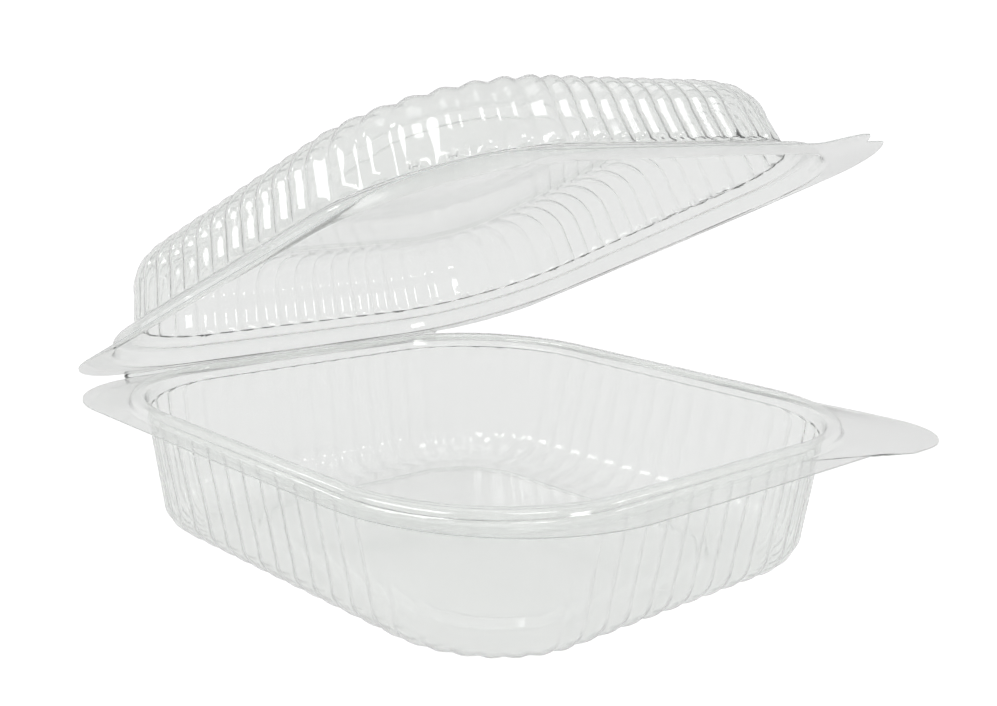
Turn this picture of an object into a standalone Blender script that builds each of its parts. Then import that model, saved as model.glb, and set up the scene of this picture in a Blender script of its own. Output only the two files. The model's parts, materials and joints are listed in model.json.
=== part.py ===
"""Clear takeaway container, one thermoformed sheet: a tub, a lid and the living hinge between them.

The lid stands part open. X runs from the hinge to the front edge, Y along the hinge and Z up.
Sizes below are millimetres, and every ring lies on the middle of the sheet.
"""

import math

import bmesh
import bpy

MM = 0.001

# Sheet and flange, half lengths from the tub's centre
SHEET = 0.4
FLANGE_FRONT = 80.6
FLANGE_HINGE = 77.3
FLANGE_SIDE = 74.4
FLANGE_HEIGHT = 32.8
FLANGE_CORNER = 43.0
EAR_CORNER = 24.0
LID_NEAR_CORNER = 20.0
SIDE_BOW = 0.7

# Opening tabs at the front corner on the +Y side: how far each reaches out at the front and at
# the side, its corner, where along Y it starts and is full, and the depth of its notch
TUB_TAB = (5.0, 2.0, 17.0, 40.0, 52.0, 0.0)
LID_TAB = (5.5, -1.0, 30.0, 34.0, 46.0, 3.3)
NOTCH_ANGLE = 19.3
NOTCH_HALF_ANGLE = 13.0
TAB_SIDE_SPREAD = 8.0

# Raised rim of the tub, and the channel of the lid that shuts over it
RIM_SIDE = 70.8
RIM_FRONT = 73.3
RIM_CORNER = 39.0
RIM_RISE = 2.6
RIM_WIDTH = 2.6
DRAFT_STEP = 0.6
LEDGE_DROP = 3.4
LEDGE_WIDTH = 1.2
LEDGE_FALL = 0.2
FLUTE_LEAD = 1.2
CHANNEL_CLEARANCE = 1.2
CHANNEL_CORNER = 38.0
CHANNEL_RISE = 3.6

# Tub walls and floor
WALL_FOOT_X = 64.5
WALL_FOOT_Y = 61.1
WALL_FOOT_HEIGHT = 8.8
WALL_FOOT_CORNER = 28.0
FLOOR_X = 56.9
FLOOR_Y = 47.8
FLOOR_CORNER = 17.5
KICK_X = 48.9
KICK_Y = 42.9
KICK_CORNER = 21.0
KICK_RISE = 1.8
KICK_SLOPE = 1.6

# Lid walls, shoulder and recessed panel
LID_WALL_STEP = 1.9
LID_LEDGE_WIDTH = 0.7
LID_WALL_LEAN = 0.1
LID_FLUTE_LEAD = 0.8
LID_WALL_X = 67.3
LID_WALL_Y = 64.8
LID_WALL_HEIGHT = 12.9
LID_WALL_CORNER = 36.1
LID_TAB_CORNER_EXTRA = 3.5
CROWN_X = 59.7
CROWN_Y = 53.3
CROWN_HEIGHT = 22.2
CROWN_CORNER = 28.5
PANEL_X = 48.0
PANEL_Y = 43.0
PANEL_CORNER = 20.0
PANEL_DROP = 2.0
PANEL_SLOPE = 2.0

# Flutes: counts along one side, one end and one corner
FLUTES_SIDE = 10
FLUTES_END = 9
FLUTES_CORNER = 8
FLUTE_POINTS = 3
TUB_FLUTE_DEPTH = 0.85
FLOOR_FLUTE_DEPTH = 0.8
LID_FLUTE_DEPTH = 1.15
CROWN_FLUTE_DEPTH = 0.35
FADE_START = 0.5
BEND_STEPS = 3
SHARP_ANGLE = 30.0

# Living hinge
HINGE_HALF_LENGTH = 54.0
HINGE_RADIUS = 1.1
HINGE_GAP = 0.3
HINGE_START_ANGLE = 100.0
HINGE_TURN = 160.0
HINGE_STEPS = 8
LID_OPEN = 24.9
HINGE_OFFSET = HINGE_RADIUS + SHEET / 2 + HINGE_GAP
HINGE_X = -(FLANGE_HINGE + HINGE_OFFSET)
LID_GAP = 0.3
HINGE_HEIGHT = FLANGE_HEIGHT + SHEET / 2 + LID_GAP / 2

# The frame's origin is under the middle of everything at rest, on the surface it stands on
FLOOR_CENTRE_HEIGHT = SHEET / 2


def smooth_step(value, start, end):
    """0 before start, 1 after end, and an even curve between."""
    t = min(max((value - start) / (end - start), 0.0), 1.0)
    return t * t * (3 - 2 * t)


def ring(x, y, corner, z, points=1, flute=0.0, hinge_x=None, corners=None, lift=0.0):
    """A rounded rectangle as one loop of points, from the front side round by +Y.

    Every ring has the same number of flutes on each side and corner, so rings join one to one.
    corners holds the radii at +X+Y, -X+Y, -X-Y and +X-Y, where they differ. Flutes stand out by
    flute and up by lift.
    """
    hinge_x = x if hinge_x is None else hinge_x
    radii = corners or (corner,) * 4
    spots = [
        (x - radii[0], y - radii[0], 0),
        (-hinge_x + radii[1], y - radii[1], 90),
        (-hinge_x + radii[2], -y + radii[2], 180),
        (x - radii[3], -y + radii[3], 270),
    ]
    loop = []
    for side in range(4):
        radius = radii[side]
        centre_x, centre_y, start = spots[side]
        before = spots[side - 1]
        direction = math.radians(start)
        outward = (math.cos(direction), math.sin(direction))
        # The straight run ends where this corner's arc begins, and starts where the last one ended.
        last = (
            before[0] + radii[side - 1] * outward[0],
            before[1] + radii[side - 1] * outward[1],
        )
        first = (centre_x + radius * outward[0], centre_y + radius * outward[1])
        flutes = FLUTES_END if side % 2 == 0 else FLUTES_SIDE
        steps = flutes * points
        for step in range(steps):
            bulge = flute_bulge(step % points / points)
            lobe = flute * bulge
            t = step / steps
            loop.append(
                (
                    last[0] + (first[0] - last[0]) * t + lobe * outward[0],
                    last[1] + (first[1] - last[1]) * t + lobe * outward[1],
                    z + lift * bulge,
                )
            )
        steps = FLUTES_CORNER * points
        for step in range(steps):
            bulge = flute_bulge(step % points / points)
            angle = math.radians(start + 90 * step / steps)
            reach = radius + flute * bulge
            x_here = centre_x + reach * math.cos(angle)
            y_here = centre_y + reach * math.sin(angle)
            loop.append((x_here, y_here, z + lift * bulge))
    return loop


def flute_bulge(t):
    """How far a flute stands out at t of its width: 0 in the valley, 1 at the crest."""
    return 1 - (2 * t - 1) ** 2


def bowed(loop):
    """The loop with its free sides bowed out a little, as a formed sheet is."""
    out = []
    for x, y, z in loop:
        along_x = 1 - (x / FLANGE_FRONT) ** 2
        along_y = 1 - (y / FLANGE_SIDE) ** 2
        front = SIDE_BOW * along_y * smooth_step(x, 0, FLANGE_FRONT)
        side = SIDE_BOW * along_x * y / FLANGE_SIDE
        out.append((x + front, y + side, z))
    return out


def flange_outline(height, near_corner, tab):
    """The flange's outer edge, with its ears at the hinge and the opening tab at the front corner."""
    reach, side_reach, corner, start, full, notch = tab
    corners = (corner, EAR_CORNER, EAR_CORNER, near_corner)
    loop = ring(FLANGE_FRONT, FLANGE_SIDE, 0, height, 2, 0, FLANGE_HINGE, corners)
    corner_x = FLANGE_FRONT - corner
    corner_y = FLANGE_SIDE - corner
    out = []
    for x, y, z in bowed(loop):
        to_front = smooth_step(y, start, full) * smooth_step(x, 0, corner_x)
        side_start = smooth_step(x, start - TAB_SIDE_SPREAD, full + TAB_SIDE_SPREAD)
        x += reach * to_front
        y += side_reach * side_start * smooth_step(y, 0, corner_y)
        # The notch is cut back towards the middle of the tab's corner.
        turn = math.degrees(math.atan2(y - side_reach - corner_y, x - reach - corner_x))
        cut = notch * max(0.0, 1 - abs(turn - NOTCH_ANGLE) / NOTCH_HALF_ANGLE)
        x -= cut * math.cos(math.radians(turn))
        y -= cut * math.sin(math.radians(turn))
        out.append((x, y, z))
    return out


def lid_wall(x, y, corner, z, flute, lift=0.0):
    """A fluted ring of the lid, whose corner at the opening tab is rounder than the others."""
    corners = (corner + LID_TAB_CORNER_EXTRA, corner, corner, corner)
    return ring(x, y, corner, z, FLUTE_POINTS, flute, None, corners, lift)


def tub_wall(head, x, y, corner, z, flute):
    """A fluted ring whose points lie square in from those of the head, so that flutes run straight down."""
    loop = []
    for index, (head_x, head_y, _) in enumerate(ring(*head, FLUTE_POINTS)):
        near_x = min(abs(head_x), x - corner)
        near_y = min(abs(head_y), y - corner)
        out_x, out_y = abs(head_x) - near_x, abs(head_y) - near_y
        reach = corner + flute * flute_bulge(index % FLUTE_POINTS / FLUTE_POINTS)
        scale = reach / math.hypot(out_x, out_y)
        here_x = math.copysign(near_x + scale * out_x, head_x)
        here_y = math.copysign(near_y + scale * out_y, head_y)
        loop.append((here_x, here_y, z))
    return loop


def quarter_levels(start, end, depths):
    """Levels along a quarter ellipse from a wall to a flat, both (x, y, corner, z).

    Each comes with the depth of its flutes, which go from the first of depths to the last, and
    with how far the level is across and along the bend.
    """
    levels = []
    for step in range(1, BEND_STEPS + 1):
        angle = math.radians(90 * step / BEND_STEPS)
        across, along = 1 - math.cos(angle), math.sin(angle)
        x, y, corner = (a + (b - a) * across for a, b in zip(start[:3], end[:3]))
        z = start[3] + (end[3] - start[3]) * along
        depth = depths[0] + (depths[1] - depths[0]) * smooth_step(step / BEND_STEPS, FADE_START, 1)
        levels.append(((x, y, corner, z), depth, across, along))
    return levels


def rim_rings(side, front, corner, height, rise, width, points=1):
    """The step up from the flange and the flat top of a rim."""
    top = DRAFT_STEP + width
    return [
        ring(front, side, corner, height, points),
        ring(front - DRAFT_STEP, side - DRAFT_STEP, corner - DRAFT_STEP, height + rise, points),
        ring(front - top, side - top, corner - top / 2, height + rise, points),
    ]


def tub_rings():
    """The tub's rings from the flange's edge down to the middle of the floor."""
    height = FLANGE_HEIGHT
    inner_x = RIM_FRONT - DRAFT_STEP - RIM_WIDTH - DRAFT_STEP
    inner_y = RIM_SIDE - DRAFT_STEP - RIM_WIDTH
    inner_corner = RIM_CORNER - DRAFT_STEP - RIM_WIDTH / 2
    ledge = height + RIM_RISE - LEDGE_DROP
    wall = (inner_x - LEDGE_WIDTH, inner_y - LEDGE_WIDTH, inner_corner - LEDGE_WIDTH)
    foot = (WALL_FOOT_X, WALL_FOOT_Y, WALL_FOOT_CORNER, WALL_FOOT_HEIGHT)
    base = FLOOR_CENTRE_HEIGHT
    floor = (FLOOR_X, FLOOR_Y, FLOOR_CORNER, base)
    head = (*wall, ledge)
    bend = quarter_levels(foot, floor, (TUB_FLUTE_DEPTH, FLOOR_FLUTE_DEPTH))
    return [
        flange_outline(height, FLANGE_CORNER, TUB_TAB),
        *rim_rings(RIM_SIDE, RIM_FRONT, RIM_CORNER, height, RIM_RISE, RIM_WIDTH),
        ring(inner_x, inner_y, inner_corner, ledge + LEDGE_FALL),
        ring(*head, FLUTE_POINTS),
        ring(*wall, ledge - FLUTE_LEAD, FLUTE_POINTS, TUB_FLUTE_DEPTH),
        tub_wall(head, *foot, TUB_FLUTE_DEPTH),
        *[tub_wall(head, *size, depth) for size, depth, _, _ in bend],
        ring(KICK_X, KICK_Y, KICK_CORNER, base),
        ring(KICK_X - KICK_SLOPE, KICK_Y - KICK_SLOPE, KICK_CORNER - KICK_SLOPE, base + KICK_RISE),
    ]


def lid_rings():
    """The shut lid's rings, its height counted from the middle of its own flange."""
    side, front = RIM_SIDE + CHANNEL_CLEARANCE, RIM_FRONT + CHANNEL_CLEARANCE
    corner = CHANNEL_CORNER
    width = RIM_WIDTH + CHANNEL_CLEARANCE
    inner = DRAFT_STEP + width + DRAFT_STEP
    step = CHANNEL_RISE + LID_WALL_STEP
    ledge = (front - inner - LID_LEDGE_WIDTH, side - inner - LID_LEDGE_WIDTH, corner - inner / 2)
    foot = (ledge[0] - LID_WALL_LEAN, ledge[1] - LID_WALL_LEAN, ledge[2], step + LID_FLUTE_LEAD)
    wall_top = (LID_WALL_X, LID_WALL_Y, LID_WALL_CORNER, LID_WALL_HEIGHT)
    crown = (CROWN_X, CROWN_Y, CROWN_CORNER, CROWN_HEIGHT)
    panel = CROWN_HEIGHT - PANEL_DROP
    bend = quarter_levels(wall_top, crown, (LID_FLUTE_DEPTH, CROWN_FLUTE_DEPTH))
    return [
        flange_outline(0.0, LID_NEAR_CORNER, LID_TAB),
        *rim_rings(side, front, corner, 0.0, CHANNEL_RISE, width),
        ring(front - inner, side - inner, corner - inner / 2, step),
        ring(*ledge, step, FLUTE_POINTS, 0.0),
        lid_wall(*foot, LID_FLUTE_DEPTH),
        lid_wall(*wall_top, LID_FLUTE_DEPTH),
        # The lid's flutes turn up with the bend.
        *[lid_wall(*size, depth * (1 - across), depth * along) for size, depth, across, along in bend],
        ring(PANEL_X, PANEL_Y, PANEL_CORNER, CROWN_HEIGHT),
        ring(PANEL_X - PANEL_SLOPE, PANEL_Y - PANEL_SLOPE, PANEL_CORNER - PANEL_SLOPE, panel),
    ]


def join_rings(mesh, outer, inner):
    """Faces between two loops of vertices, where one may hold a whole number of times more points."""
    if len(outer) < len(inner):
        fine, coarse, flip = inner, outer, True
    else:
        fine, coarse, flip = outer, inner, False
    ratio = len(fine) // len(coarse)
    for index, corner in enumerate(coarse):
        following = coarse[(index + 1) % len(coarse)]
        middle = ratio // 2
        for part in range(ratio):
            a = fine[index * ratio + part]
            b = fine[(index * ratio + part + 1) % len(fine)]
            if part == middle:
                face = (a, b, following, corner)
            else:
                face = (a, b, corner if part < middle else following)
            mesh.faces.new(face[::-1] if flip else face)


def sheet_object(name, rings, material, place):
    """An open surface lofted through the rings and closed by a face, then thickened to a sheet."""
    mesh = bmesh.new()
    loops = [[mesh.verts.new([MM * c for c in place(p)]) for p in points] for points in rings]
    for outer, inner in zip(loops, loops[1:]):
        join_rings(mesh, outer, inner)
    mesh.faces.new(loops[-1])
    bmesh.ops.recalc_face_normals(mesh, faces=mesh.faces)
    return finish(name, mesh, material)


def finish(name, mesh, material):
    """The object of this surface, with the sheet's thickness and smooth shading."""
    data = bpy.data.meshes.new(name)
    mesh.to_mesh(data)
    mesh.free()
    data.materials.append(material)
    data.shade_smooth()
    data.set_sharp_from_angle(angle=math.radians(SHARP_ANGLE))
    made = bpy.data.objects.new(name, data)
    solidify = made.modifiers.new("sheet", "SOLIDIFY")
    solidify.thickness = SHEET * MM
    solidify.offset = 0.0
    solidify.use_even_offset = True
    container.objects.link(made)
    return made


def hinge_object(material):
    """The living hinge: the sheet rolled round the back of the joint axis."""
    mesh = bmesh.new()
    rows = []
    for y in (-HINGE_HALF_LENGTH, HINGE_HALF_LENGTH):
        row = []
        for step in range(HINGE_STEPS + 1):
            angle = math.radians(HINGE_START_ANGLE + HINGE_TURN * step / HINGE_STEPS)
            x = HINGE_X - CENTRE_X + HINGE_RADIUS * math.cos(angle)
            z = HINGE_HEIGHT + HINGE_RADIUS * math.sin(angle)
            row.append(mesh.verts.new((MM * x, MM * y, MM * z)))
        rows.append(row)
    for step in range(HINGE_STEPS):
        mesh.faces.new((rows[0][step], rows[1][step], rows[1][step + 1], rows[0][step + 1]))
    return finish("hinge_fold", mesh, material)


def clear_plastic(name, hex_colour):
    """Clear glossy polystyrene, here with its colour, roughness and see-through share."""
    material = bpy.data.materials.new(name)
    material.use_nodes = True
    shader = material.node_tree.nodes["Principled BSDF"]
    channels = [int(hex_colour[i : i + 2], 16) / 255 for i in (0, 2, 4)]
    linear = [c / 12.92 if c <= 0.04045 else ((c + 0.055) / 1.055) ** 2.4 for c in channels]
    shader.inputs["Base Color"].default_value = (*linear, 1)
    shader.inputs["Roughness"].default_value = 0.08
    shader.inputs["Metallic"].default_value = 0.0
    shader.inputs["Alpha"].default_value = 0.45
    material.diffuse_color = (*linear, 0.6)
    return material


def rest_middle():
    """The middle in X and Y of the tub, the open lid and the fold, counted from the tub's centre."""
    points = [p for loop in tub_rings() for p in loop]
    points += [opened(p) for loop in lid_rings() for p in loop]
    points.append((HINGE_X - HINGE_RADIUS - SHEET / 2, 0, HINGE_HEIGHT))
    middle = []
    for axis in range(2):
        values = [p[axis] for p in points]
        middle.append((min(values) + max(values)) / 2)
    return middle


def opened(point):
    """A point of the shut lid, turned up about the hinge axis."""
    x, y, height = point
    out = x - HINGE_X
    up = height + LID_GAP / 2 + SHEET / 2
    angle = math.radians(LID_OPEN)
    return (
        HINGE_X + out * math.cos(angle) - up * math.sin(angle),
        y,
        HINGE_HEIGHT + out * math.sin(angle) + up * math.cos(angle),
    )


def stand(point):
    """A point of the tub, moved so that the origin is under the middle of everything."""
    return (point[0] - CENTRE_X, point[1] - CENTRE_Y, point[2])


def hang(point):
    """A point of the shut lid, given in the lid's own space, whose origin is on the hinge axis."""
    return (point[0] - HINGE_X, point[1], point[2] + LID_GAP / 2 + SHEET / 2)


for old in list(bpy.data.objects):
    bpy.data.objects.remove(old)
container = bpy.data.collections.new("takeaway_container")
bpy.context.scene.collection.children.link(container)

CENTRE_X, CENTRE_Y = rest_middle()

tub = sheet_object("tub", tub_rings(), clear_plastic("tub_plastic", "E6EAE7"), stand)
lid = sheet_object("lid", lid_rings(), clear_plastic("lid_plastic", "E6EAE7"), hang)
fold = hinge_object(clear_plastic("hinge_plastic", "E9ECEA"))

# The lid turns about an empty on the hinge axis.
pivot = bpy.data.objects.new("lid_hinge", None)
pivot.location = (MM * (HINGE_X - CENTRE_X), MM * -CENTRE_Y, MM * HINGE_HEIGHT)
pivot.rotation_euler = (0, -math.radians(LID_OPEN), 0)
container.objects.link(pivot)
lid.parent = pivot
fold.location = (0, MM * -CENTRE_Y, 0)
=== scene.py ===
import json
import math

import bpy
import numpy as np
from mathutils import Matrix, Vector


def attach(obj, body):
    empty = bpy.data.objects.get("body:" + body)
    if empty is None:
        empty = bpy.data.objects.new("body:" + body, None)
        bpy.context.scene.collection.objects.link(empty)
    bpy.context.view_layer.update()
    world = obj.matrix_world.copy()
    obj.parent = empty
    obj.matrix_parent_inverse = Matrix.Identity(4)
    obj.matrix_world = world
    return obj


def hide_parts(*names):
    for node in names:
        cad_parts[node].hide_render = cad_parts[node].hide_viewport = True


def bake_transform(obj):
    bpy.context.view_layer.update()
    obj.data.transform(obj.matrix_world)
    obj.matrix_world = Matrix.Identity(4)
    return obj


# A clear takeaway container, formed from one sheet: a fluted tub and a fluted lid on a living hinge.
# Lengths are in millimetres from the tub's centre, until in_frame or opened puts them in the part's frame.
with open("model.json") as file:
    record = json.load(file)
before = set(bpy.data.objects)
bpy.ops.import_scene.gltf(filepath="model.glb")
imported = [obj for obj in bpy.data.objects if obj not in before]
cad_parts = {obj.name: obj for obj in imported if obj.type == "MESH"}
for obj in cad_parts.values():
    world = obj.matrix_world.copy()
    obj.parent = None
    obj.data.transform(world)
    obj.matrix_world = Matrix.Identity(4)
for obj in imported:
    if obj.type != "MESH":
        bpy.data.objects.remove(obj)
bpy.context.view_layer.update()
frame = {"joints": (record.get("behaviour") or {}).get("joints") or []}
MM = 0.001

hinge = frame["joints"][0]
HINGE_X = -78.9
HINGE_HEIGHT = hinge["pos_m"][2] / MM
CENTRE_X = HINGE_X - hinge["pos_m"][0] / MM
CENTRE_Y = -hinge["pos_m"][1] / MM
LID_OPEN = math.radians(24.9)

# The camera, fitted to the outlines in the photo: its place, the way it looks, how far it is tilted,
# and its focal length in pixels of a picture of this width
CAMERA_PLACE = (234.175, -223.532, 114.662)
CAMERA_AZIMUTH, CAMERA_ELEVATION, CAMERA_ROLL = 45.795, 11.793, -2.144
FOCAL_LENGTH, PICTURE_WIDTH = 1371.897, 997
SENSOR_WIDTH = 36.0

# The surround's brightness at the horizon and above it, as the sines of the angles between them
HORIZON, SURROUND = 0.79, 0.71
HORIZON_TOP, SURROUND_START = 0.12, 0.42
# The photo's background was cut out to pure white, so the camera's own rays see a brighter stage than
# the rays that have passed the plastic: the floor's glow for these and those, and the backdrop
GLOW = (0.70, 0.98)
BACKDROP = 1.1
FLOOR_HALF = 6.0
BOUNCES = 10
# Soft boxes: the direction of each, its half width and height in degrees, and its brightness
SOFT_BOXES = (
    ((0.0, 0.05, 1.0), (14, 14), 1.0),
    ((-0.05, -0.86, 0.51), (28, 8.5), 4.2),
    ((0.61, -0.05, 0.79), (12, 9), 4.0),
    ((0.943, 0.253, 0.216), (7, 3.5), 6.0),
    ((-0.75, -0.51, 0.42), (4, 4), 5.0),
    ((0.58, 0.69, 0.44), (5, 4), 5.0),
)
# A box is full bright over this share of its half width, and fades beyond it
BOX_EDGE = 0.8

# The sheet, and the edge of its flange as half lengths
SHEET = 0.28
LID_GAP = 0.35
FLANGE_FRONT, FLANGE_HINGE, FLANGE_SIDE, FLANGE_HEIGHT = 80.6, 77.3, 74.4, 32.8
TUB_CORNER, LID_CORNER, EAR_CORNER = 43.0, 20.0, 24.0
SIDE_BOW = 0.7
# Opening tabs: how far each reaches out at the front and at the side, its corner, where along Y it
# starts and is full, and the depth of its notch
TUB_TAB = (5.0, 2.0, 17.0, 40.0, 52.0, 0.0)
LID_TAB = (5.5, -1.0, 30.0, 34.0, 46.0, 3.3)
NOTCH_ANGLE, NOTCH_HALF_ANGLE = 19.3, 13.0
TAB_SIDE_SPREAD = 8.0
LID_EXTRA = 3.5

# Flutes on one side, one end and one corner, and the points that draw each of them
FLUTES_SIDE, FLUTES_END, FLUTES_CORNER = 10, 9, 8
FLUTE_POINTS = 10
# The depth of a flute, and how round its valley is, from a sharp crease at 0 to a wave at 1
TUB_FLUTE, LID_FLUTE = (0.85, 0.65), (1.15, 0.6)
FADE_START = 0.5
LUG_HALF_WIDTH = 1.0
SHARP_ANGLE = 75.0

# The crease of the hinge, out from the axis and above it, and the steps that draw the strip
CREASE = (0.25, 0.05)
STRIP_HALF, STRIP_STEPS, STRIP_BEND = 53.0, 72, 8


def smooth_step(value, start, end):
    t = min(max((value - start) / (end - start), 0.0), 1.0)
    return t * t * (3 - 2 * t)


def ring(x, y, corner, z, hinge_x=None, corners=None):
    """A rounded rectangle from the front side round by +Y: its points and the way out at each."""
    hinge_x = x if hinge_x is None else hinge_x
    radii = corners or (corner,) * 4
    spots = [
        (x - radii[0], y - radii[0]),
        (-hinge_x + radii[1], y - radii[1]),
        (-hinge_x + radii[2], -y + radii[2]),
        (x - radii[3], -y + radii[3]),
    ]
    points, ways = [], []
    for side in range(4):
        start = math.radians(90 * side)
        out = np.array((math.cos(start), math.sin(start), 0.0))
        flutes = FLUTES_SIDE if side % 2 else FLUTES_END
        last = np.array((*spots[side - 1], z)) + radii[side - 1] * out
        first = np.array((*spots[side], z)) + radii[side] * out
        steps = flutes * FLUTE_POINTS
        for step in range(steps):
            points.append(last + (first - last) * step / steps)
            ways.append(out)
        steps = FLUTES_CORNER * FLUTE_POINTS
        for step in range(steps):
            angle = start + math.radians(90) * step / steps
            way = np.array((math.cos(angle), math.sin(angle), 0.0))
            points.append(np.array((*spots[side], z)) + radii[side] * way)
            ways.append(way)
    return np.array(points), np.array(ways)


def flange_outline(height, near_corner, tab):
    """The flange's edge, with its ears at the hinge and the opening tab at the front corner."""
    reach, side_reach, corner, start, full, notch = tab
    corners = (corner, EAR_CORNER, EAR_CORNER, near_corner)
    points, ways = ring(FLANGE_FRONT, FLANGE_SIDE, 0, height, FLANGE_HINGE, corners)
    corner_x, corner_y = FLANGE_FRONT - corner, FLANGE_SIDE - corner
    for point in points:
        x, y, _ = point
        bow = SIDE_BOW * (1 - (y / FLANGE_SIDE) ** 2) * smooth_step(x, 0, FLANGE_FRONT)
        side = SIDE_BOW * (1 - (x / FLANGE_FRONT) ** 2) * y / FLANGE_SIDE
        x, y = x + bow, y + side
        to_front = smooth_step(y, start, full) * smooth_step(x, 0, corner_x)
        side_start = smooth_step(x, start - TAB_SIDE_SPREAD, full + TAB_SIDE_SPREAD)
        to_side = side_start * smooth_step(y, 0, corner_y)
        x += reach * to_front
        y += side_reach * to_side
        turn = math.degrees(math.atan2(y - side_reach - corner_y, x - reach - corner_x))
        cut = notch * max(0.0, 1 - abs(turn - NOTCH_ANGLE) / NOTCH_HALF_ANGLE)
        point[0] = x - cut * math.cos(math.radians(turn))
        point[1] = y - cut * math.sin(math.radians(turn))
    return points, ways


def level(points_and_ways, share=0.0, bend=0.0, steps=4):
    """One level of a profile: its ring, how much of a flute it has, and the size of its bend."""
    points, ways = points_and_ways
    return {"points": points, "ways": ways, "share": share, "bend": bend, "steps": steps}


def quarter(start, end, steps, shares, shape, tilt=0.0):
    """Levels along a quarter ellipse, from a wall (x, y, corner, z) to a flat one, each made by shape.

    tilt turns the way out of the flutes upwards with the bend, as far as this share of it.
    """
    levels = []
    for step in range(1, steps + 1):
        angle = math.radians(90 * step / steps)
        across, along = 1 - math.cos(angle), math.sin(angle)
        x, y, corner = (a + (b - a) * across for a, b in zip(start[:3], end[:3]))
        z = start[3] + (end[3] - start[3]) * along
        share = shares[0] + (shares[1] - shares[0]) * smooth_step(step / steps, FADE_START, 1.0)
        points, ways = shape(x, y, corner, z)
        ways = ways * math.cos(angle * tilt) + np.array((0.0, 0.0, math.sin(angle * tilt)))
        levels.append(level((points, ways), share))
    return levels


def lid_wall(x, y, corner, z):
    """A rounded rectangle whose corner at the opening tab is rounder than the others."""
    return ring(x, y, 0, z, None, (corner + LID_EXTRA, corner, corner, corner))


def below(head, x, y, corner, z):
    """A rounded rectangle whose points lie square in from the head's, so that flutes run straight down."""
    points, ways = ring(*head)
    sides = np.sign(points[:, :2])
    near = np.minimum(np.abs(points[:, :2]), (x - corner, y - corner))
    out = np.abs(points[:, :2]) - near
    out /= np.linalg.norm(out, axis=1, keepdims=True)
    points[:, :2] = (near + corner * out) * sides
    points[:, 2] = z
    ways[:, :2] = out * sides
    return points, ways


def between(start, end, steps, shape):
    """Levels evenly spaced from one wall (x, y, corner, z) up to but not including another."""
    levels = []
    for step in range(steps):
        size = (a + (b - a) * step / steps for a, b in zip(start, end))
        levels.append(level(shape(*size), 1.0))
    return levels


def rounded(levels):
    """The rings of a profile, each bend drawn as a small arc from the level before to the one after."""
    out = []
    for index, this in enumerate(levels):
        if this["bend"] == 0 or index in (0, len(levels) - 1):
            out.append((this["points"], this["ways"], this["share"]))
            continue
        ends = []
        for other in (levels[index - 1], levels[index + 1]):
            gap = np.linalg.norm(other["points"] - this["points"], axis=1, keepdims=True)
            part = np.minimum(this["bend"] / np.maximum(gap, 1e-6), 0.48)
            points = this["points"] + (other["points"] - this["points"]) * part
            ends.append((points, this["share"] + (other["share"] - this["share"]) * float(part.mean())))
        for step in range(this["steps"] + 1):
            t = step / this["steps"]
            a, b, c = (1 - t) ** 2, 2 * t * (1 - t), t**2
            points = a * ends[0][0] + b * this["points"] + c * ends[1][0]
            share = a * ends[0][1] + b * this["share"] + c * ends[1][1]
            out.append((points, this["ways"], share))
    return out


def lugs(size):
    """Slightly deeper flutes at the middle of each corner, as on boxes that nest."""
    count = 2 * (FLUTES_SIDE + FLUTES_END) + 4 * FLUTES_CORNER
    turn = np.arange(count * FLUTE_POINTS) / FLUTE_POINTS
    share = np.zeros(len(turn))
    start = 0
    for side in range(4):
        start += FLUTES_SIDE if side % 2 else FLUTES_END
        share += size * (np.abs(turn - start - FLUTES_CORNER / 2) < LUG_HALF_WIDTH)
        start += FLUTES_CORNER
    return share


def rim(side, front, corner, height, rise, width, draft, bend):
    top = draft + width
    return [
        level(ring(front, side, corner, height), bend=bend),
        level(ring(front - draft, side - draft, corner - draft, height + rise), bend=bend),
        level(ring(front - top, side - top, corner - top / 2, height + rise), bend=bend),
    ]


def tub_levels():
    head = (67.8, 65.7, 35.0, 28.6)
    foot = (64.5, 61.1, 28.0, 8.8)
    floor = (56.9, 47.8, 17.5, SHEET / 2 + 0.02)
    base = floor[3]

    def wall(*size):
        return below(head, *size)

    return [
        level(flange_outline(FLANGE_HEIGHT, TUB_CORNER, TUB_TAB)),
        *rim(70.8, 73.3, 39.0, FLANGE_HEIGHT, 2.6, 2.6, 0.6, 1.1),
        level(ring(69.5, 67.0, 37.1, 32.2), bend=0.6),
        level(ring(68.3, 66.4, 35.9, 32.0), bend=0.3),
        level(ring(68.3, 66.4, 35.9, 31.4), 0.5 + lugs(0.2)),
        level(ring(68.2, 66.3, 35.9, 30.8), 1.0 + lugs(0.5)),
        *between(head, foot, 5, wall),
        level(wall(*foot), 1.0),
        *quarter(foot, floor, 10, (1.0, 0.95), wall),
        level(wall(55.9, 47.0, 17.8, base), 0.6),
        level(wall(54.6, 46.0, 18.4, base)),
        level(ring(48.9, 42.9, 21.0, base), bend=0.5),
        level(ring(47.3, 41.3, 19.4, base + 1.8), bend=0.5),
        level(ring(30.0, 26.0, 12.0, base + 1.8)),
        level(ring(10.0, 8.0, 4.0, base + 1.8)),
    ]


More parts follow.
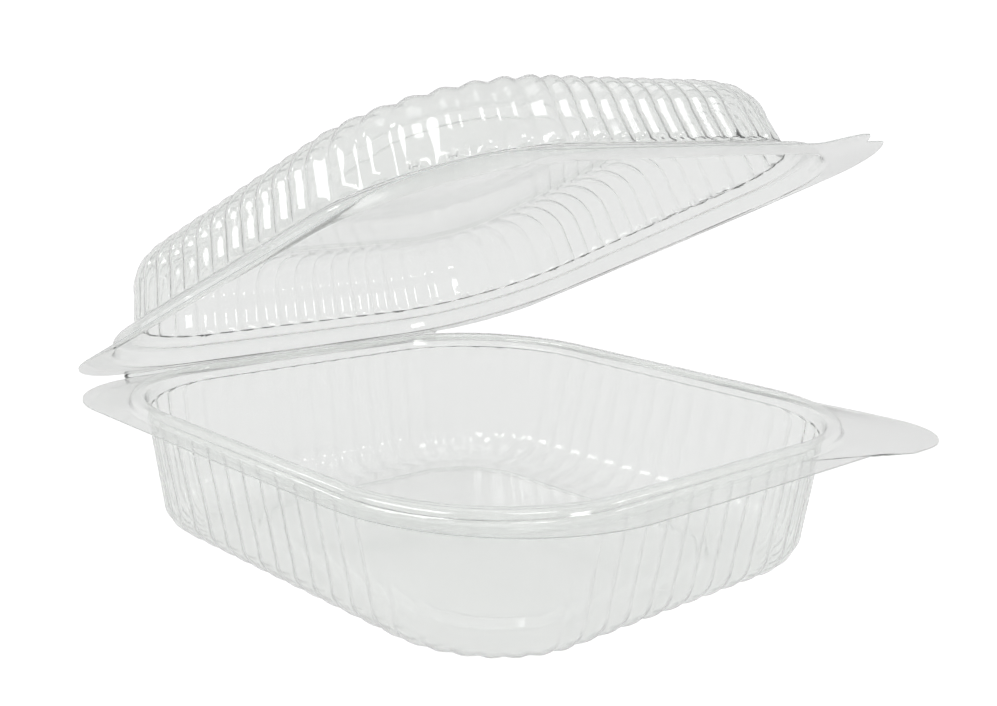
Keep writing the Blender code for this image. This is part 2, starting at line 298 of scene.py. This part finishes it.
def lid_levels():
    foot = (68.4, 65.9, 36.9, 8.0)
    wall_top = (67.3, 64.8, 36.1, 12.9)
    crown = (59.7, 53.3, 28.5, 22.2)
    top = crown[3]
    return [
        level(flange_outline(0.0, LID_CORNER, LID_TAB)),
        *rim(72.0, 74.5, 38.0, 0.0, 3.6, 3.8, 0.6, 1.3),
        level(ring(69.5, 67.0, 35.5, 5.2), bend=0.5),
        level(ring(68.8, 66.3, 36.5, 5.7), bend=0.3),
        level(ring(68.75, 66.25, 36.8, 5.9), 0.5 + lugs(0.2)),
        level(lid_wall(68.7, 66.2, 37.0, 6.3), 1.0 + lugs(0.4)),
        *between(foot, wall_top, 2, lid_wall),
        level(lid_wall(*wall_top), 1.0),
        *quarter(wall_top, crown, 12, (1.0, 0.3), lid_wall, 0.9),
        level(lid_wall(57.2, 51.0, 27.4, top)),
        level(ring(48.0, 43.0, 20.0, top), bend=0.5),
        level(ring(46.0, 41.0, 18.0, top - 2.0), bend=0.5),
        level(ring(30.0, 26.0, 12.0, top - 2.0)),
        level(ring(10.0, 8.0, 4.0, top - 2.0)),
    ]


def in_frame(points):
    """Points of the tub, in the part's frame."""
    return (points - (CENTRE_X, CENTRE_Y, 0)) * MM


def opened(points, moved=True):
    """Points or ways of the shut lid, turned up about the hinge and put in the part's frame."""
    out = points[:, 0] - (HINGE_X if moved else 0)
    up = points[:, 2] + (LID_GAP if moved else 0)
    turned = points.copy()
    turned[:, 0] = out * math.cos(LID_OPEN) - up * math.sin(LID_OPEN)
    turned[:, 2] = out * math.sin(LID_OPEN) + up * math.cos(LID_OPEN)
    if not moved:
        return turned
    return in_frame(turned + (HINGE_X, 0, HINGE_HEIGHT))


def add(tree, kind, links=(), **settings):
    """Adds a node. Settings name its properties; links maps an input to a value or an output socket."""
    node = tree.nodes.new(kind)
    for name, value in settings.items():
        setattr(node, name, value)
    for name, value in dict(links).items():
        if isinstance(value, bpy.types.NodeSocket):
            tree.links.new(value, node.inputs[name])
        else:
            node.inputs[name].default_value = value
    return node


def linear(hex_colour):
    """An sRGB hex colour as the linear colour that a shader takes."""
    channels = [int(hex_colour[i : i + 2], 16) / 255 for i in (0, 2, 4)]
    return (*[c / 12.92 if c <= 0.04045 else ((c + 0.055) / 1.055) ** 2.4 for c in channels], 1)


def clear_polystyrene(name, haze, roughness):
    """Oriented polystyrene sheet, thermoformed: glass clear, faintly hazy, with shallow forming waves.

    It gives the eye sharp reflections over a sheet that dims what is behind it by a few percent.
    """
    material = bpy.data.materials.new(name)
    material.use_nodes = True
    tree = material.node_tree
    shader = tree.nodes["Principled BSDF"]
    shader.inputs["Base Color"].default_value = linear("FEFFFE")
    shader.inputs["IOR"].default_value = 1.5
    shader.inputs["Transmission Weight"].default_value = 1 - haze
    place = add(tree, "ShaderNodeTexCoord").outputs["Object"]
    # Forming waves about 12 mm apart, only a hundredth of a millimetre or so high
    waves = add(tree, "ShaderNodeTexNoise", {"Vector": place, "Scale": 85.0, "Detail": 2.0})
    bump = add(
        tree, "ShaderNodeBump", {"Height": waves.outputs["Fac"], "Strength": 0.06, "Distance": 0.0002}
    )
    tree.links.new(bump.outputs["Normal"], shader.inputs["Normal"])
    # The sheet is a little duller in patches of some 20 mm, where it stretched over the mould
    patches = add(tree, "ShaderNodeTexNoise", {"Vector": place, "Scale": 50.0, "Detail": 3.0})
    dull = add(
        tree,
        "ShaderNodeMapRange",
        {"Value": patches.outputs["Fac"], "To Min": roughness[0], "To Max": roughness[1]},
    )
    tree.links.new(dull.outputs["Result"], shader.inputs["Roughness"])
    return material


def cut_edge():
    """The die-cut edge of the sheet: the knife leaves it dull, so it shows as a pale line."""
    material = bpy.data.materials.new("die_cut_polystyrene_edge")
    material.use_nodes = True
    shader = material.node_tree.nodes["Principled BSDF"]
    shader.inputs["Base Color"].default_value = linear("E6E9E7")
    shader.inputs["IOR"].default_value = 1.5
    shader.inputs["Transmission Weight"].default_value = 0.3
    shader.inputs["Roughness"].default_value = 0.5
    return material


def flute_tree(name):
    """Geometry Nodes that press flutes into a plain sheet, by its three flute attributes.

    A flute's lobe is a parabola with a sharp valley, a cosine with a round one, or a mix of the two.
    """
    tree = bpy.data.node_groups.new(name, "GeometryNodeTree")
    face = tree.interface
    face.new_socket("Sheet", in_out="INPUT", socket_type="NodeSocketGeometry")
    face.new_socket("Flute Depth", in_out="INPUT", socket_type="NodeSocketFloat")
    face.new_socket("Valley Rounding", in_out="INPUT", socket_type="NodeSocketFloat")
    face.new_socket("Plastic", in_out="INPUT", socket_type="NodeSocketMaterial")
    face.new_socket("Sheet", in_out="OUTPUT", socket_type="NodeSocketGeometry")
    given = add(tree, "NodeGroupInput")
    turn = add(tree, "GeometryNodeInputNamedAttribute", {"Name": "flute_turn"}, data_type="FLOAT")
    share = add(tree, "GeometryNodeInputNamedAttribute", {"Name": "flute_share"}, data_type="FLOAT")
    way = add(tree, "GeometryNodeInputNamedAttribute", {"Name": "flute_way"}, data_type="FLOAT_VECTOR")
    along = add(tree, "ShaderNodeMath", {0: turn.outputs[0]}, operation="FRACT")
    across = add(
        tree, "ShaderNodeMath", {0: along.outputs[0], 1: 2.0, 2: -1.0}, operation="MULTIPLY_ADD"
    )
    square = add(
        tree, "ShaderNodeMath", {0: across.outputs[0], 1: across.outputs[0]}, operation="MULTIPLY"
    )
    round_lobe = add(tree, "ShaderNodeMath", {0: 1.0, 1: square.outputs[0]}, operation="SUBTRACT")
    half_turn = add(tree, "ShaderNodeMath", {0: across.outputs[0], 1: math.pi}, operation="MULTIPLY")
    wave = add(tree, "ShaderNodeMath", {0: half_turn.outputs[0]}, operation="COSINE")
    wave_lobe = add(
        tree, "ShaderNodeMath", {0: wave.outputs[0], 1: 0.5, 2: 0.5}, operation="MULTIPLY_ADD"
    )
    lobe = add(
        tree,
        "ShaderNodeMapRange",
        {
            "Value": given.outputs["Valley Rounding"],
            "To Min": round_lobe.outputs[0],
            "To Max": wave_lobe.outputs[0],
        },
    )
    shared = add(
        tree, "ShaderNodeMath", {0: lobe.outputs[0], 1: share.outputs[0]}, operation="MULTIPLY"
    )
    deep = add(
        tree,
        "ShaderNodeMath",
        {0: shared.outputs[0], 1: given.outputs["Flute Depth"]},
        operation="MULTIPLY",
    )
    offset = add(
        tree, "ShaderNodeVectorMath", {0: way.outputs[0], "Scale": deep.outputs[0]}, operation="SCALE"
    )
    pressed = add(
        tree, "GeometryNodeSetPosition", {"Geometry": given.outputs["Sheet"], "Offset": offset.outputs[0]}
    )
    smooth = add(tree, "GeometryNodeSetShadeSmooth", {"Geometry": pressed.outputs[0]})
    real = add(tree, "GeometryNodeRealizeInstances", {"Geometry": smooth.outputs[0]})
    coated = add(
        tree, "GeometryNodeSetMaterial", {"Geometry": real.outputs[0], "Material": given.outputs["Plastic"]}
    )
    add(tree, "NodeGroupOutput", {"Sheet": coated.outputs[0]})
    return tree


def set_input(modifier, name, value):
    """Sets a Geometry Nodes input by its socket's identifier."""
    for item in modifier.node_group.interface.items_tree:
        if item.name == name and item.in_out == "INPUT":
            modifier[item.identifier] = value


def formed_sheet(name, levels, flute, place, place_way, material, edge):
    """A plain sheet lofted through the levels, its flutes pressed in by Geometry Nodes, then thickened."""
    rings = rounded(levels)
    count = len(rings[0][0])
    points = np.concatenate([place(r[0]) for r in rings])
    ways = np.concatenate([place_way(r[1]) for r in rings])
    shares = np.concatenate([np.broadcast_to(r[2], count) for r in rings])
    turns = np.tile(np.arange(count) / FLUTE_POINTS, len(rings))
    faces = []
    for row in range(len(rings) - 1):
        for i in range(count):
            j = (i + 1) % count
            a, b = row * count, (row + 1) * count
            faces.append((a + i, a + j, b + j, b + i))
    faces.append(tuple(range((len(rings) - 1) * count, len(rings) * count)))
    mesh = bpy.data.meshes.new(name + "_plain")
    mesh.from_pydata(points.tolist(), [], faces)
    for attribute, kind, field, values in (
        ("flute_turn", "FLOAT", "value", turns),
        ("flute_share", "FLOAT", "value", shares),
        ("flute_way", "FLOAT_VECTOR", "vector", ways),
    ):
        made = mesh.attributes.new(attribute, kind, "POINT")
        made.data.foreach_set(field, np.ravel(values).astype(np.float32))
    plain = bpy.data.objects.new(name + "_plain", mesh)
    mesh.materials.append(material)
    mesh.materials.append(edge)
    bpy.context.scene.collection.objects.link(plain)
    flutes = plain.modifiers.new("flutes", "NODES")
    flutes.node_group = flute_tree(name + "_flutes")
    set_input(flutes, "Flute Depth", flute[0] * MM)
    set_input(flutes, "Valley Rounding", flute[1])
    set_input(flutes, "Plastic", material)
    thick = plain.modifiers.new("sheet", "SOLIDIFY")
    thick.thickness = SHEET * MM
    thick.offset = 0.0
    thick.material_offset_rim = 1
    graph = bpy.context.evaluated_depsgraph_get()
    made = bpy.data.meshes.new_from_object(plain.evaluated_get(graph), depsgraph=graph)
    made.name = name
    for attribute in ("flute_turn", "flute_share", "flute_way"):
        if attribute in made.attributes:
            made.attributes.remove(made.attributes[attribute])
    made.set_sharp_from_angle(angle=math.radians(SHARP_ANGLE))
    bpy.data.objects.remove(plain)
    piece = bpy.data.objects.new(name, made)
    bpy.context.scene.collection.objects.link(piece)
    return piece


def hinge_strip(name, material, edge):
    """The living hinge: a strip creased along the joint's axis, from the tub's flange to the lid's."""
    base_end = np.array((-FLANGE_HINGE - HINGE_X, FLANGE_HEIGHT - HINGE_HEIGHT))
    lid_end = np.array((base_end[0], -base_end[1]))
    sine, cosine = math.sin(LID_OPEN), math.cos(LID_OPEN)
    lid_end = np.array(((cosine, -sine), (sine, cosine))) @ lid_end
    pull = 2 * np.array(CREASE) - (base_end + lid_end) / 2
    profile = []
    for step in range(STRIP_BEND + 1):
        t = step / STRIP_BEND
        profile.append((1 - t) ** 2 * base_end + 2 * t * (1 - t) * pull + t**2 * lid_end)
    rows = []
    for i in range(STRIP_STEPS + 1):
        y = -STRIP_HALF + 2 * STRIP_HALF * i / STRIP_STEPS
        for x, z in profile:
            rows.append(((x + HINGE_X - CENTRE_X) * MM, (y - CENTRE_Y) * MM, (z + HINGE_HEIGHT) * MM))
    width = len(profile)
    faces = [
        (i * width + k, i * width + k + 1, (i + 1) * width + k + 1, (i + 1) * width + k)
        for i in range(STRIP_STEPS)
        for k in range(width - 1)
    ]
    mesh = bpy.data.meshes.new(name)
    mesh.from_pydata(rows, [], faces)
    mesh.materials.append(material)
    mesh.materials.append(edge)
    mesh.shade_smooth()
    piece = bpy.data.objects.new(name, mesh)
    bpy.context.scene.collection.objects.link(piece)
    thick = piece.modifiers.new("sheet", "SOLIDIFY")
    thick.thickness = SHEET * MM
    thick.offset = 0.0
    thick.material_offset_rim = 1
    return piece


def camera():
    """The photograph's viewpoint, fitted to the container's outlines."""
    az, el, roll = (math.radians(a) for a in (CAMERA_AZIMUTH, CAMERA_ELEVATION, CAMERA_ROLL))
    back = Vector((math.sin(az) * math.cos(el), -math.cos(az) * math.cos(el), math.sin(el)))
    right = (-back).cross(Vector((0, 0, 1))).normalized()
    down = (-back).cross(right)
    right, down = (
        math.cos(roll) * right + math.sin(roll) * down,
        -math.sin(roll) * right + math.cos(roll) * down,
    )
    data = bpy.data.cameras.new("camera")
    data.sensor_width = SENSOR_WIDTH
    data.lens = SENSOR_WIDTH * FOCAL_LENGTH / PICTURE_WIDTH
    data.clip_start = 0.01
    made = bpy.data.objects.new("camera", data)
    eye = Vector(in_frame(np.array(CAMERA_PLACE)))
    made.matrix_world = Matrix.Translation(eye) @ Matrix((right, -down, back)).transposed().to_4x4()
    bpy.context.scene.collection.objects.link(made)
    bpy.context.scene.camera = made


def soft_box(tree, way, middle, half_angles, brightness):
    """The light of a soft box in the surround, with soft edges, for a ray that goes this way."""
    middle = Vector(middle).normalized()
    side = middle.cross(Vector((0, 0, 1)))
    side = side.normalized() if side.length > 0.01 else Vector((1, 0, 0))
    up = side.cross(middle)
    facing = add(tree, "ShaderNodeVectorMath", {0: way, 1: middle}, operation="DOT_PRODUCT")
    ahead = add(tree, "ShaderNodeMath", {0: facing.outputs["Value"], 1: 0.0}, operation="GREATER_THAN")
    light = ahead.outputs[0]
    for across, half in ((side, half_angles[0]), (up, half_angles[1])):
        reach = add(tree, "ShaderNodeVectorMath", {0: way, 1: across}, operation="DOT_PRODUCT")
        apart = add(tree, "ShaderNodeMath", {0: reach.outputs["Value"]}, operation="ABSOLUTE")
        end = math.sin(math.radians(half))
        inside = add(
            tree,
            "ShaderNodeMapRange",
            {
                "Value": apart.outputs[0],
                "From Min": end * BOX_EDGE,
                "From Max": end,
                "To Min": 1.0,
                "To Max": 0.0,
            },
            interpolation_type="SMOOTHSTEP",
        ).outputs["Result"]
        light = add(tree, "ShaderNodeMath", {0: light, 1: inside}, operation="MULTIPLY").outputs[0]
    return add(tree, "ShaderNodeMath", {0: light, 1: brightness}, operation="MULTIPLY").outputs[0]


def studio():
    """A plain white floor that glows, in a white surround with soft boxes."""
    mesh = bpy.data.meshes.new("floor")
    corners = [(FLOOR_HALF * x, FLOOR_HALF * y, 0) for x, y in ((-1, -1), (1, -1), (1, 1), (-1, 1))]
    mesh.from_pydata(corners, [], [(0, 1, 2, 3)])
    floor = bpy.data.objects.new("floor", mesh)
    bpy.context.scene.collection.objects.link(floor)
    table = bpy.data.materials.new("opal_acrylic_light_table")
    table.use_nodes = True
    tree = table.node_tree
    shader = tree.nodes["Principled BSDF"]
    shader.inputs["Base Color"].default_value = linear("606060")
    shader.inputs["Roughness"].default_value = 0.9
    shader.inputs["Specular IOR Level"].default_value = 0.0
    shader.inputs["Emission Color"].default_value = linear("FFFFFF")
    # A light table under the box: what is seen through the plastic is lit evenly, and casts no shadow
    seen = add(tree, "ShaderNodeLightPath").outputs["Is Camera Ray"]
    glow = add(tree, "ShaderNodeMapRange", {"Value": seen, "To Min": GLOW[0], "To Max": GLOW[1]})
    tree.links.new(glow.outputs["Result"], shader.inputs["Emission Strength"])
    mesh.materials.append(table)
    world = bpy.data.worlds.new("surround")
    world.use_nodes = True
    bpy.context.scene.world = world
    tree = world.node_tree
    ground = tree.nodes["Background"]
    way = add(tree, "ShaderNodeTexCoord").outputs["Generated"]
    height = add(tree, "ShaderNodeSeparateXYZ", {0: way}).outputs["Z"]
    light = add(
        tree,
        "ShaderNodeMapRange",
        {
            "Value": height,
            "From Min": HORIZON_TOP,
            "From Max": SURROUND_START,
            "To Min": HORIZON,
            "To Max": SURROUND,
        },
        interpolation_type="SMOOTHSTEP",
    ).outputs["Result"]
    seen = add(tree, "ShaderNodeLightPath").outputs["Is Camera Ray"]
    for middle, half_angles, brightness in SOFT_BOXES:
        box = soft_box(tree, way, middle, half_angles, brightness)
        light = add(tree, "ShaderNodeMath", {0: light, 1: box}, operation="ADD").outputs[0]
    direct = add(tree, "ShaderNodeMapRange", {"Value": seen, "To Min": 1.0, "To Max": BACKDROP / HORIZON})
    light = add(tree, "ShaderNodeMath", {0: light, 1: direct.outputs["Result"]}, operation="MULTIPLY")
    tree.links.new(light.outputs[0], ground.inputs["Strength"])
    ground.inputs["Color"].default_value = linear("FFFFFF")


camera()
studio()
tub_plastic = clear_polystyrene("clear_polystyrene_tub", 0.06, (0.03, 0.12))
lid_plastic = clear_polystyrene("clear_polystyrene_lid", 0.05, (0.02, 0.10))
hinge_plastic = clear_polystyrene("clear_polystyrene_hinge", 0.12, (0.10, 0.22))
trimmed = cut_edge()

tub = formed_sheet(
    "tub_sheet", tub_levels(), TUB_FLUTE, in_frame, lambda ways: ways, tub_plastic, trimmed
)
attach(tub, "base")
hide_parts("tub")

lid = formed_sheet(
    "lid_sheet", lid_levels(), LID_FLUTE, opened, lambda ways: opened(ways, False), lid_plastic, trimmed
)
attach(lid, "lid")
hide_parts("lid")

strip = hinge_strip("hinge_strip", hinge_plastic, trimmed)
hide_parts("hinge_fold")
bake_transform(strip)

bpy.context.scene.view_settings.view_transform = "Standard"
# Light that has met the floor still passes the clear sheet sharply, so it isn't lost there
bpy.context.scene.cycles.blur_glossy = 0.0
bpy.context.scene.cycles.max_bounces = BOUNCES
bpy.context.scene.cycles.transmission_bounces = BOUNCES
